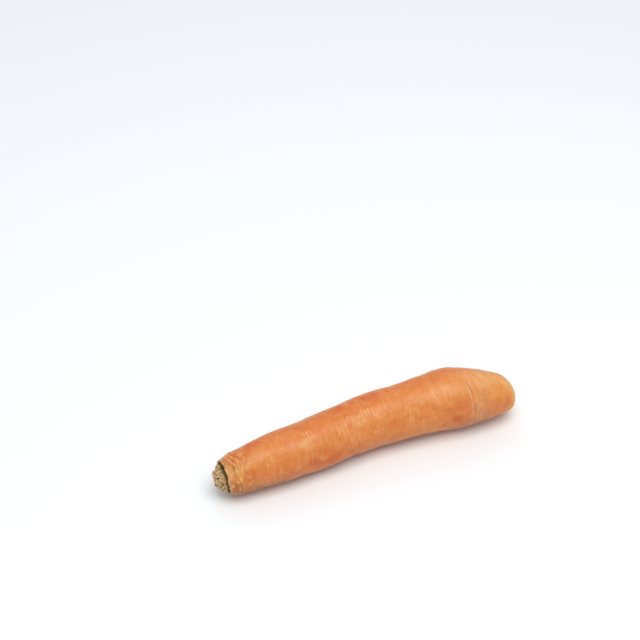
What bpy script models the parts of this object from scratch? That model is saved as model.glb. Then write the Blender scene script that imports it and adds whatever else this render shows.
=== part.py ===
"""A carrot as it is sold: one tapered root with a blunt tip, lying on its side, and the cut
leaf-stalk bases that stand in the hollow of its crown. Metres, +Z up, the crown towards -X."""

import math
import random

import bmesh
import bpy

# Driving dimensions
ROOT_LENGTH = 0.1668  # crown rim to tip, along X
BELLY_RADIUS = 0.0167  # at the thickest place, near the tip
RIM_RADIUS = 0.0088  # where the shoulder turns into the hollow of the crown
HOLLOW_DEPTH = 0.0024
HOLLOW_RADIUS = 0.0074
SEAT_DEPTH = 0.00045  # how far the low places of the underside are pressed flat
FIT_GAP = 0.0003  # between the hollow and what grows in it
ON_AXIS = 1e-6  # nearer to the axis than this is on it

# Shares of the root's length, each with a share of the belly radius
SHOULDER_TO_TIP = (
    (0.00, 0.545), (0.03, 0.658), (0.08, 0.726), (0.13, 0.762), (0.20, 0.804),
    (0.30, 0.848), (0.42, 0.852), (0.54, 0.886), (0.66, 0.920), (0.74, 0.976),
    (0.79, 1.008), (0.83, 0.958), (0.87, 0.884), (0.91, 0.810), (0.955, 0.680), (1.00, 0.545),
)  # fmt: skip
TIP_CAP_START = 0.955
TIP_CAP_POWER = 2.1  # 2 is a round cap, more is blunter

# The heart line of the root: shares of its length, each with metres aside (+Y) and up
HEART_ASIDE = (
    (0.00, -0.0028), (0.15, -0.0022), (0.32, -0.0003), (0.48, 0.0022),
    (0.66, 0.0012), (0.80, -0.0011), (0.92, -0.0041), (1.00, -0.0055),
)  # fmt: skip
HEART_UP = (
    (0.00, 0.0119), (0.12, 0.0134), (0.27, 0.0138), (0.50, 0.0149), (0.68, 0.0156),
    (0.79, 0.0165), (0.86, 0.0159), (0.92, 0.0142), (0.97, 0.0125), (1.00, 0.0112),
)  # fmt: skip

# Rings pressed into the root: share of the length, depth, half width, middle of the ring as an
# angle round the root from the top (front positive), and the angle over which it fades out
CREASES = (
    (0.818, 0.00050, 0.0011, 40.0, 75.0),
    (0.843, 0.00024, 0.0009, 60.0, 90.0),
    (0.863, 0.00030, 0.0010, 75.0, 80.0),
    (0.884, 0.00026, 0.0009, 30.0, 85.0),
    (0.425, 0.00045, 0.0016, 115.0, 60.0),
    (0.235, 0.00024, 0.0013, 215.0, 80.0),
    (0.600, 0.00030, 0.0014, 300.0, 70.0),
    (0.715, 0.00028, 0.0013, 10.0, 60.0),
)
# Low swellings: share of the length, height, half length, angle round the root, half angle
KNOBS = (
    (0.462, 0.00055, 0.0060, 125.0, 45.0),
    (0.770, 0.00030, 0.0090, 340.0, 50.0),
    (0.170, 0.00025, 0.0090, 130.0, 60.0),
)
WAVES = 7  # broad, weak waves, so that the root doesn't look turned
WAVE_HEIGHT = 0.00010
WAVE_TURNS = (1.5, 7.0)  # fewest and most along the root
OVALNESS = 0.018  # share of the radius
OVAL_TURN = math.radians(25)  # of the wider way, from the top to the front
FADE_IN = 0.010  # from the crown rim, over which the unevenness grows
FADE_OUT = 0.011  # before the tip, over which it dies out
CROWN_TILT = math.radians(3.5)  # the crown is a little oblique: one side reaches further out
TILT_TOWARDS = math.radians(-41)  # that side, from the top to the front
TILT_REACH = 0.030  # from the crown rim, over which the tilt dies out

SIDES = 48
RING_SPACING = 0.0027
CREASE_FLANK = 1.1  # where the rings beside a crease's own ring run, in half widths
CREASE_CLEAR = 1.6  # half widths of a crease without the evenly spaced rings
CAP_RINGS = 8
SETTLE_STEPS = 4  # tipping it moves its low places a little, so it is tipped again
SKIN_SHARP_ANGLE = 50
STALK_SHARP_ANGLE = 35

# Leaf-stalk bases: how many stand in each whorl, the whorl's radius, the thickness of a base,
# the angle it covers either way, and how far it stands out of the crown rim
WHORLS = (
    (6, 0.0058, 0.0021, 29.0, 0.0032),
    (4, 0.0034, 0.0019, 40.0, 0.0047),
    (2, 0.0012, 0.0016, 66.0, 0.0055),
)
DOME_SLOPE = 0.55  # how steeply each cut falls away from the heart
WHORL_TURN = 0.4  # radians per base in the whorl, so that the whorls stand in each other's gaps
SECTION_STEPS = 4  # along the outer face of a base; its inner face has as many
EDGE_THINNING = 0.55  # how much thinner a base is at its two edges
INNER_REACH = 0.92  # of the angle, at a base's inner face
STALK_LEAN = 0.06  # sideways per length, away from the heart
STALK_TAPER = 0.90
SUNKEN_MIDDLE = 0.0005
CUT_EDGE = 0.15  # of the thickness, round the sunken middle of a cut
CROWN_DISC_TOP = 0.0010  # below the rim
DISC_SIDES = 24


def through(points, share):
    """The smooth curve through points of (share, value), straight on beyond both ends."""
    xs = [p[0] for p in points]
    ys = [p[1] for p in points]
    steps = [(ys[i + 1] - ys[i]) / (xs[i + 1] - xs[i]) for i in range(len(xs) - 1)]
    slopes = [steps[0]]
    for i in range(1, len(steps)):
        before, after = xs[i] - xs[i - 1], xs[i + 1] - xs[i]
        slopes.append((after * steps[i - 1] + before * steps[i]) / (before + after))
    slopes.append(steps[-1])
    if share <= xs[0]:
        return ys[0] + slopes[0] * (share - xs[0])
    if share >= xs[-1]:
        return ys[-1] + slopes[-1] * (share - xs[-1])
    i = max(k for k in range(len(steps)) if xs[k] <= share)
    span = xs[i + 1] - xs[i]
    u = (share - xs[i]) / span
    return (
        ys[i] * (1 + 2 * u) * (1 - u) ** 2
        + slopes[i] * span * u * (1 - u) ** 2
        + ys[i + 1] * u * u * (3 - 2 * u)
        + slopes[i + 1] * span * u * u * (u - 1)
    )


def heart(along):
    """Where the root's heart line is at a distance from the crown rim: (aside, up)."""
    share = along / ROOT_LENGTH
    return through(HEART_ASIDE, share), through(HEART_UP, share)


def plain_radius(along):
    """The root's radius before anything uneven is added."""
    share = along / ROOT_LENGTH
    radius = BELLY_RADIUS * through(SHOULDER_TO_TIP, share)
    u = min(max((share - TIP_CAP_START) / (1 - TIP_CAP_START), 0.0), 1.0)
    return radius * (1 - u**TIP_CAP_POWER) ** (1 / TIP_CAP_POWER)


def bell(x):
    return math.exp(-x * x)


def apart(a, b):
    """The angle between two directions round the root, in degrees from 0 to 180."""
    return abs((a - b + 180) % 360 - 180)


def wave_set():
    """Seeded waves: turns along the root, turns round it, and phase."""
    rng = random.Random(11)
    return [
        (rng.uniform(*WAVE_TURNS), rng.choice((0, 1, 1, 2, 3)), rng.uniform(0, 2 * math.pi))
        for _ in range(WAVES)
    ]


def unevenness(along, angle, waves):
    """How far the skin stands out of the turned shape, at an angle in degrees from the top."""
    turn = math.radians(angle)
    out = OVALNESS * plain_radius(along) * math.cos(2 * (turn - OVAL_TURN))
    for turns, round_turns, phase in waves:
        out += WAVE_HEIGHT * math.sin(
            2 * math.pi * turns * along / ROOT_LENGTH + round_turns * turn + phase
        )
    for share, depth, half_width, middle, spread in CREASES:
        ring = bell((along - share * ROOT_LENGTH) / half_width)
        out -= depth * ring * bell(apart(angle, middle) / spread)
    for share, height, half_length, middle, spread in KNOBS:
        knob = bell((along - share * ROOT_LENGTH) / half_length)
        out += height * knob * bell(apart(angle, middle) / spread)
    return out * min(1.0, along / FADE_IN, (ROOT_LENGTH - along) / FADE_OUT)


def ring_places():
    """Distances from the rim at which the root has a ring of points: even, closer at creases."""
    cap_start = TIP_CAP_START * ROOT_LENGTH
    count = round(cap_start / RING_SPACING)
    places = [cap_start * (i + 0.5) / count for i in range(count)]
    for share, _, half_width, _, _ in CREASES:
        middle, flank = share * ROOT_LENGTH, CREASE_FLANK * half_width
        places = [p for p in places if abs(p - middle) > CREASE_CLEAR * half_width]
        places += [middle - flank, middle, middle + flank]
    cap = ROOT_LENGTH - cap_start
    places += [cap_start + cap * math.sin(math.pi / 2 * i / CAP_RINGS) for i in range(CAP_RINGS)]
    return sorted(places)


def root_profile():
    """(along, radius) from the middle of the crown's hollow, over its rim, to the tip."""
    wall = RIM_RADIUS - HOLLOW_RADIUS
    profile = [
        (HOLLOW_DEPTH, 0.0),
        (HOLLOW_DEPTH, 0.5 * HOLLOW_RADIUS),
        (HOLLOW_DEPTH, HOLLOW_RADIUS),
        (0.75 * HOLLOW_DEPTH, HOLLOW_RADIUS + 0.35 * wall),
        (0.35 * HOLLOW_DEPTH, HOLLOW_RADIUS + 0.55 * wall),
        (0.06 * HOLLOW_DEPTH, HOLLOW_RADIUS + 0.80 * wall),
        (0.0, RIM_RADIUS),
    ]
    profile += [(p, plain_radius(p)) for p in ring_places()]
    return profile + [(ROOT_LENGTH, 0.0)]


def turned(profile, sides):
    """A closed body of revolution about X, from points of (along, radius)."""
    bm = bmesh.new()
    verts = [bm.verts.new((along, 0.0, radius)) for along, radius in profile]
    edges = [bm.edges.new(pair) for pair in zip(verts, verts[1:])]
    bmesh.ops.spin(
        bm, geom=verts + edges, cent=(0, 0, 0), axis=(1, 0, 0), angle=2 * math.pi,
        steps=sides, use_merge=True,
    )  # fmt: skip
    bmesh.ops.remove_doubles(bm, verts=bm.verts, dist=ON_AXIS)
    bmesh.ops.recalc_face_normals(bm, faces=bm.faces)
    return bm


def bend_to_heart(bm):
    """Moves a body made on the X axis on to the heart line, and makes the crown oblique."""
    for vert in bm.verts:
        aside, up = heart(vert.co.x)
        out = math.cos(TILT_TOWARDS) * vert.co.z - math.sin(TILT_TOWARDS) * vert.co.y
        fade = min(max(1 - vert.co.x / TILT_REACH, 0.0), 1.0)
        vert.co.x -= math.tan(CROWN_TILT) * out * fade**2
        vert.co.y += aside
        vert.co.z += up


def roughen(bm):
    """Pushes each point of the turned root's outside out or in. The hollow stays round."""
    waves = wave_set()
    for vert in bm.verts:
        radius = math.hypot(vert.co.y, vert.co.z)
        in_hollow = radius <= RIM_RADIUS and vert.co.x <= HOLLOW_DEPTH
        if in_hollow or radius < ON_AXIS:
            continue
        angle = math.degrees(math.atan2(-vert.co.y, vert.co.z))
        scale = 1 + unevenness(vert.co.x, angle, waves) / radius
        vert.co.y *= scale
        vert.co.z *= scale


def build_root():
    bm = turned(root_profile(), SIDES)
    roughen(bm)
    bend_to_heart(bm)
    return bm


def crescent(ring_radius, thickness, half_angle):
    """The section of a stalk base, which wraps round the heart: (angle, radius) points."""
    turns = [half_angle * (2 * i / SECTION_STEPS - 1) for i in range(SECTION_STEPS + 1)]
    half = [0.5 * thickness * (1 - EDGE_THINNING * (t / half_angle) ** 2) for t in turns]
    outer = [(t, ring_radius + h) for t, h in zip(turns, half)]
    inner = [(INNER_REACH * t, ring_radius - h) for t, h in zip(turns, half)]
    return outer + inner[::-1]


def stalk_base(whorl, step):
    """One cut leaf-stalk base: a crescent that grows out of the crown disc, leans away from
    the heart, and ends in a slanted cut with a sunken middle."""
    count, ring_radius, thickness, half_degrees, stand_out = whorl
    rng = random.Random(100 * count + step)
    middle = 2 * math.pi * (step + rng.uniform(-0.07, 0.07)) / count + WHORL_TURN * count
    half_angle = math.radians(half_degrees * rng.uniform(0.85, 1.0))
    stand_out *= rng.uniform(0.8, 1.15)
    slant = rng.uniform(-0.25, 0.25)
    section = crescent(ring_radius, thickness * rng.uniform(0.9, 1.1), half_angle)
    levels = (
        (HOLLOW_DEPTH - 2 * FIT_GAP, 1.0, 0.0, 0.0),
        (-0.5 * stand_out, 1.0, 0.0, 0.5 * DOME_SLOPE),
        (-stand_out, STALK_TAPER, slant, DOME_SLOPE),
    )
    bm = bmesh.new()
    rings = []
    for along, width, cut, slope in levels:
        lean = STALK_LEAN * (HOLLOW_DEPTH - along)
        ring = []
        for turn, radius in section:
            angle = middle + width * turn
            reach = ring_radius + width * (radius - ring_radius) + lean
            place = along + cut * turn * ring_radius + slope * (radius - ring_radius)
            ring.append(bm.verts.new((place, -reach * math.sin(angle), reach * math.cos(angle))))
        rings.append(ring)
    faces = [bm.faces.new(ring) for ring in (rings[0], rings[-1])]
    loops = [[bm.edges.get(pair) or bm.edges.new(pair) for pair in zip(ring, ring[1:] + ring[:1])]
             for ring in rings]  # fmt: skip
    for low, high in zip(loops, loops[1:]):
        bmesh.ops.bridge_loops(bm, edges=low + high)
    bmesh.ops.inset_individual(bm, faces=[faces[-1]], thickness=CUT_EDGE * thickness, depth=0.0)
    bmesh.ops.translate(bm, verts=faces[-1].verts, vec=(SUNKEN_MIDDLE, 0.0, 0.0))
    bmesh.ops.recalc_face_normals(bm, faces=bm.faces)
    return bm


def crown_disc():
    """The short stem at the heart of the crown, clear of the hollow's floor and wall."""
    bottom = HOLLOW_DEPTH - FIT_GAP
    edge = HOLLOW_RADIUS - FIT_GAP
    return turned(
        [(bottom, 0.0), (bottom, edge), (CROWN_DISC_TOP, edge),
         (0.6 * CROWN_DISC_TOP, 0.72 * edge), (0.3 * CROWN_DISC_TOP, 0.0)],
        DISC_SIDES,
    )  # fmt: skip


def settle(root, *others):
    """Lays the carrot down: it is tipped until both its halves touch, pressed flat where they
    do, and centred over the origin."""
    bodies = (root, *others)
    for _ in range(SETTLE_STEPS):
        low = [min((v.co.z, v.co.x) for v in root.verts if (v.co.x > 0.5 * ROOT_LENGTH) == half)
               for half in (False, True)]  # fmt: skip
        slope = (low[1][0] - low[0][0]) / (low[1][1] - low[0][1])
        for bm in bodies:
            for vert in bm.verts:
                vert.co.z -= low[0][0] + slope * (vert.co.x - low[0][1])
    for bm in bodies:
        for vert in bm.verts:
            vert.co.z = max(vert.co.z - SEAT_DEPTH, 0.0)
    points = [vert.co for bm in bodies for vert in bm.verts]
    middle = [(min(p[i] for p in points) + max(p[i] for p in points)) / 2 for i in (0, 1)]
    for bm in bodies:
        bmesh.ops.translate(bm, verts=bm.verts, vec=(-middle[0], -middle[1], 0.0))


def material(name, colour, roughness):
    made = bpy.data.materials.new(name)
    made.use_nodes = True
    shader = made.node_tree.nodes["Principled BSDF"]
    shader.inputs["Base Color"].default_value = (*colour, 1.0)
    shader.inputs["Roughness"].default_value = roughness
    shader.inputs["Metallic"].default_value = 0.0
    return made


def as_object(name, bm, finish, smooth_angle):
    mesh = bpy.data.meshes.new(name)
    bm.to_mesh(mesh)
    bm.free()
    mesh.materials.append(finish)
    mesh.shade_smooth()
    mesh.set_sharp_from_angle(angle=math.radians(smooth_angle))
    made = bpy.data.objects.new(name, mesh)
    bpy.context.scene.collection.objects.link(made)
    return made


def join_on_to(body, pieces):
    """One Boolean union of the body and every piece, after which the pieces are gone."""
    tools = bpy.data.collections.new("stalk_bases")
    bpy.context.scene.collection.children.link(tools)
    for piece in pieces:
        bpy.context.scene.collection.objects.unlink(piece)
        tools.objects.link(piece)
    union = body.modifiers.new("Grown together", "BOOLEAN")
    union.operation = "UNION"
    union.operand_type = "COLLECTION"
    union.collection = tools
    union.solver = "EXACT"
    graph = bpy.context.evaluated_depsgraph_get()
    joined = bpy.data.meshes.new_from_object(body.evaluated_get(graph))
    body.modifiers.remove(union)
    body.data = joined
    for piece in pieces:
        bpy.data.objects.remove(piece)
    bpy.data.collections.remove(tools)


def build_stubs(finish):
    """The crown disc and every stalk base as meshes of their own, still apart."""
    disc = crown_disc()
    bases = [stalk_base(whorl, step) for whorl in WHORLS for step in range(whorl[0])]
    for bm in (disc, *bases):
        bend_to_heart(bm)
    return disc, bases


def main():
    for old in list(bpy.data.objects):
        bpy.data.objects.remove(old)
    skin = material("carrot_skin", (0.76, 0.25, 0.055), 0.5)
    dry_stalk = material("dry_leaf_stalk", (0.32, 0.20, 0.09), 0.8)
    root = build_root()
    disc, bases = build_stubs(dry_stalk)
    settle(root, disc, *bases)
    as_object("carrot_root", root, skin, SKIN_SHARP_ANGLE)
    stubs = as_object("leaf_stalk_stubs", disc, dry_stalk, STALK_SHARP_ANGLE)
    pieces = [
        as_object(f"stalk_base_{i}", bm, dry_stalk, STALK_SHARP_ANGLE) for i, bm in enumerate(bases)
    ]
    join_on_to(stubs, pieces)


main()
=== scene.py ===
"""A topped carrot, dressed for a studio picture around its packed construction model.

The root and the cut leaf-stalk bases in its crown each replace their plain solid with a finer
body of the same form. The form's sizes are in metres, its places are shares of the root's length
and angles round it, counted from the top towards the front.
"""

from __future__ import annotations

import logging
import math
import random
from dataclasses import dataclass, field
from enum import Enum
from typing import Any, ClassVar, Iterable, Sequence

import bmesh
import bpy
import numpy as np
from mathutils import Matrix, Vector
from mathutils.kdtree import KDTree


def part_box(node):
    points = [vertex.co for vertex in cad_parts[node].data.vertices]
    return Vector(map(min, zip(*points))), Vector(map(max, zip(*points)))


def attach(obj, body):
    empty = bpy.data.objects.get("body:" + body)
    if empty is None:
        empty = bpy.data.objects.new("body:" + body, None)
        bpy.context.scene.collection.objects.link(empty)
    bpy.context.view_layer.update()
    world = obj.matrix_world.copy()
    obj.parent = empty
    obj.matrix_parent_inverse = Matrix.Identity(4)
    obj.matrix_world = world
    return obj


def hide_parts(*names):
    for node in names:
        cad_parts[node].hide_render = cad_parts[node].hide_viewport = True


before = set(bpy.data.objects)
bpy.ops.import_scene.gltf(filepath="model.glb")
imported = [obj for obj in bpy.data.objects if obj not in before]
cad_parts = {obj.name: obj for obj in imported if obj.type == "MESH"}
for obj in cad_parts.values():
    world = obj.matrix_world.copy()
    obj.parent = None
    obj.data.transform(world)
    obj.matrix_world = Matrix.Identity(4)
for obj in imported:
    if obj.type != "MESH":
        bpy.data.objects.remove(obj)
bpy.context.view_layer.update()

LOG = logging.getLogger("carrot")
MM = 0.001
BODY = "root"
ON_AXIS = 1e-6  # nearer to the axis than this is on it
SETTLE_STEPS = 4  # tipping the root moves its low places a little, so it is tipped again


# --- shared tools ------------------------------------------------------------------------


def linear(hex_colour: str) -> tuple[float, float, float, float]:
    """Turns an sRGB colour into the linear values that shaders take.

    Args:
        hex_colour: Six hex digits, with or without a leading #.

    Returns:
        Red, green, blue and an alpha of 1.
    """
    digits = hex_colour.lstrip("#")
    shares = (int(digits[i : i + 2], 16) / 255 for i in (0, 2, 4))
    r, g, b = (c / 12.92 if c <= 0.04045 else ((c + 0.055) / 1.055) ** 2.4 for c in shares)
    return r, g, b, 1.0


def per_metre(size_mm: float) -> float:
    """The noise scale whose cells are size_mm across."""
    return 1.0 / (size_mm * MM)


def add_node(
    tree: bpy.types.NodeTree,
    kind: str,
    inputs: dict[int | str, Any] | None = None,
    stops: Sequence[tuple[float, Any]] = (),
    **settings: Any,
) -> bpy.types.Node:
    """Adds a node with its settings, values and links.

    Args:
        tree: The node tree that it joins.
        kind: Its type name.
        inputs: Socket name or number to a value, or to the socket that feeds it.
        stops: Place and colour of each stop, for a node with a colour ramp.
        **settings: Properties of the node.

    Returns:
        The new node.
    """
    made = tree.nodes.new(kind)
    for name, value in settings.items():
        setattr(made, name, value)
    for key, value in (inputs or {}).items():
        if isinstance(value, bpy.types.NodeSocket):
            tree.links.new(value, made.inputs[key])
        else:
            made.inputs[key].default_value = value
    if stops:
        elements = made.color_ramp.elements
        while len(elements) < len(stops):
            elements.new(1.0)
        for element, (place, colour) in zip(elements, stops):
            element.position = place
            element.color = colour if isinstance(colour, tuple) else (colour,) * 3 + (1.0,)
    return made


def smooth_curve(points: Sequence[tuple[float, float]], share: np.ndarray) -> np.ndarray:
    """The smooth curve through points of (share, value), straight on beyond both ends.

    Args:
        points: The points, in order of their share.
        share: Where the curve is read.

    Returns:
        The curve's value at each share.
    """
    xs, ys = (np.array(column, float) for column in zip(*points))
    spans = np.diff(xs)
    steps = np.diff(ys) / spans
    inner = (spans[1:] * steps[:-1] + spans[:-1] * steps[1:]) / (spans[:-1] + spans[1:])
    slopes = np.concatenate([steps[:1], inner, steps[-1:]])
    held = np.clip(share, xs[0], xs[-1])
    i = np.clip(np.searchsorted(xs, held, side="right") - 1, 0, len(steps) - 1)
    u = (held - xs[i]) / spans[i]
    on_curve = (
        ys[i] * (1 + 2 * u) * (1 - u) ** 2
        + slopes[i] * spans[i] * u * (1 - u) ** 2
        + ys[i + 1] * u * u * (3 - 2 * u)
        + slopes[i + 1] * spans[i] * u * u * (u - 1)
    )
    return on_curve + (share - held) * np.where(share < xs[0], slopes[0], slopes[-1])


def bell(x: np.ndarray) -> np.ndarray:
    """A smooth bump, 1 at 0 and nearly 0 beyond 2."""
    return np.exp(-x * x)


def ramp(x: np.ndarray, low: float, high: float) -> np.ndarray:
    """0 up to low, 1 from high on, and smooth between them. It falls where low is over high."""
    u = np.clip((x - low) / (high - low), 0.0, 1.0)
    return u * u * (3 - 2 * u)


def apart(a: np.ndarray, b: float) -> np.ndarray:
    """The signed angle from b to a, in degrees from -180 to 180."""
    return (a - b + 180.0) % 360.0 - 180.0


def wave_field(points: np.ndarray, size: Sequence[float], seed: int, waves: int = 14) -> np.ndarray:
    """A smooth random field, made of waves in random directions.

    Args:
        points: One row of x, y and z for each place.
        size: Length of a typical wave along x, y and z.
        seed: Seed of the waves' directions and phases.
        waves: How many waves are added up.

    Returns:
        A value for each place, about 0 on average and mostly between -1.5 and 1.5.
    """
    rng = np.random.default_rng(seed)
    total = np.zeros(len(points))
    scaled = points / np.asarray(size)
    for _ in range(waves):
        direction = rng.normal(size=3)
        direction *= rng.uniform(0.6, 1.5) / np.linalg.norm(direction)
        total += np.cos(2 * math.pi * (scaled @ direction) + rng.uniform(0, 2 * math.pi))
    return total / math.sqrt(waves / 2)


def turned(profile: Iterable[tuple[float, float]], sides: int) -> bmesh.types.BMesh:
    """A closed body of revolution about X.

    Args:
        profile: Points of (along, radius), from axis to axis.
        sides: How many steps a full turn has.

    Returns:
        The body, with its faces outwards.
    """
    bm = bmesh.new()
    verts = [bm.verts.new((along, 0.0, radius)) for along, radius in profile]
    edges = [bm.edges.new(pair) for pair in zip(verts, verts[1:])]
    bmesh.ops.spin(
        bm, geom=verts + edges, cent=(0, 0, 0), axis=(1, 0, 0), angle=2 * math.pi,
        steps=sides, use_merge=True,
    )  # fmt: skip
    bmesh.ops.remove_doubles(bm, verts=bm.verts, dist=ON_AXIS)
    bmesh.ops.recalc_face_normals(bm, faces=bm.faces)
    return bm


def places(mesh: bpy.types.Mesh) -> np.ndarray:
    """Reads the mesh's points.

    Args:
        mesh: The mesh.

    Returns:
        One row of x, y and z for each point.
    """
    flat = np.empty(len(mesh.vertices) * 3)
    mesh.vertices.foreach_get("co", flat)
    return flat.reshape(-1, 3)


def put_places(mesh: bpy.types.Mesh, points: np.ndarray) -> None:
    """Moves the mesh's points to these places."""
    mesh.vertices.foreach_set("co", points.astype(np.float32).ravel())
    mesh.update()


def put_values(mesh: bpy.types.Mesh, name: str, values: np.ndarray) -> None:
    """Stores a number or a vector for each point as a named attribute.

    Args:
        mesh: The mesh.
        name: The attribute's name.
        values: One number, or one row of three, for each point.
    """
    vector = values.ndim == 2
    layer = mesh.attributes.new(name, "FLOAT_VECTOR" if vector else "FLOAT", "POINT")
    layer.data.foreach_set("vector" if vector else "value", values.astype(np.float32).ravel())


def as_piece(name: str, bm: bmesh.types.BMesh, finish: bpy.types.Material) -> bpy.types.Object:
    """Turns a bmesh into a smooth-shaded object with its finish, and frees the bmesh.

    Args:
        name: The piece's name.
        bm: Its shape.
        finish: Its material.

    Returns:
        The object, linked to the scene.
    """
    mesh = bpy.data.meshes.new(name)
    bm.to_mesh(mesh)
    bm.free()
    mesh.materials.append(finish)
    mesh.shade_smooth()
    piece = bpy.data.objects.new(name, mesh)
    bpy.context.scene.collection.objects.link(piece)
    return piece


def stand_for(piece: bpy.types.Object, node: str) -> None:
    """Lets a piece ride on the part and stand for a plain node of it.

    Args:
        piece: The finished piece.
        node: The construction node that it replaces.
    """
    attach(piece, BODY)
    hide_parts(node)
    triangles = sum(len(p.vertices) - 2 for p in piece.data.polygons)
    LOG.info("%s: %d triangles, stands for %s", piece.name, triangles, node)


# --- finishes ----------------------------------------------------------------------------


def new_material(name: str) -> tuple[bpy.types.Material, bpy.types.NodeTree, bpy.types.Node]:
    """Starts a node material, whose Principled shader is already wired to the output.

    Args:
        name: The material's name.

    Returns:
        The material, its node tree and its Principled shader.
    """
    made = bpy.data.materials.new(name)
    made.use_nodes = True
    return made, made.node_tree, made.node_tree.nodes["Principled BSDF"]


def tinted(
    tree: bpy.types.NodeTree, base: Any, colour: str, amount: Any, blend: str = "MIX"
) -> bpy.types.NodeSocket:
    """Lays one colour over another.

    Args:
        tree: The material's node tree.
        base: The colour socket below.
        colour: The sRGB colour on top.
        amount: How much of it, a number or a socket.
        blend: The way it is mixed.

    Returns:
        The mixed colour's socket.
    """
    mixed = add_node(
        tree, "ShaderNodeMix", {0: amount, 6: base, 7: linear(colour)},
        data_type="RGBA", blend_type=blend,
    )  # fmt: skip
    return mixed.outputs[2]


def layered(
    tree: bpy.types.NodeTree, colour: Any, fields: Iterable[tuple[Any, float, float, float, str]]
) -> bpy.types.NodeSocket:
    """Lays colours over one another, each as strong as a value makes it.

    Args:
        tree: The material's node tree.
        colour: The colour socket below them all.
        fields: For each colour: the value's socket, the values at which the colour starts to
            show and is full, its strength when full, and its sRGB colour.

    Returns:
        The last mix's socket.
    """
    for value, start, full, most, hue in fields:
        amount = add_node(
            tree, "ShaderNodeMapRange", {0: value, 1: start, 2: full, 3: 0.0, 4: most}
        ).outputs[0]
        colour = tinted(tree, colour, hue, amount)
    return colour


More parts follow.
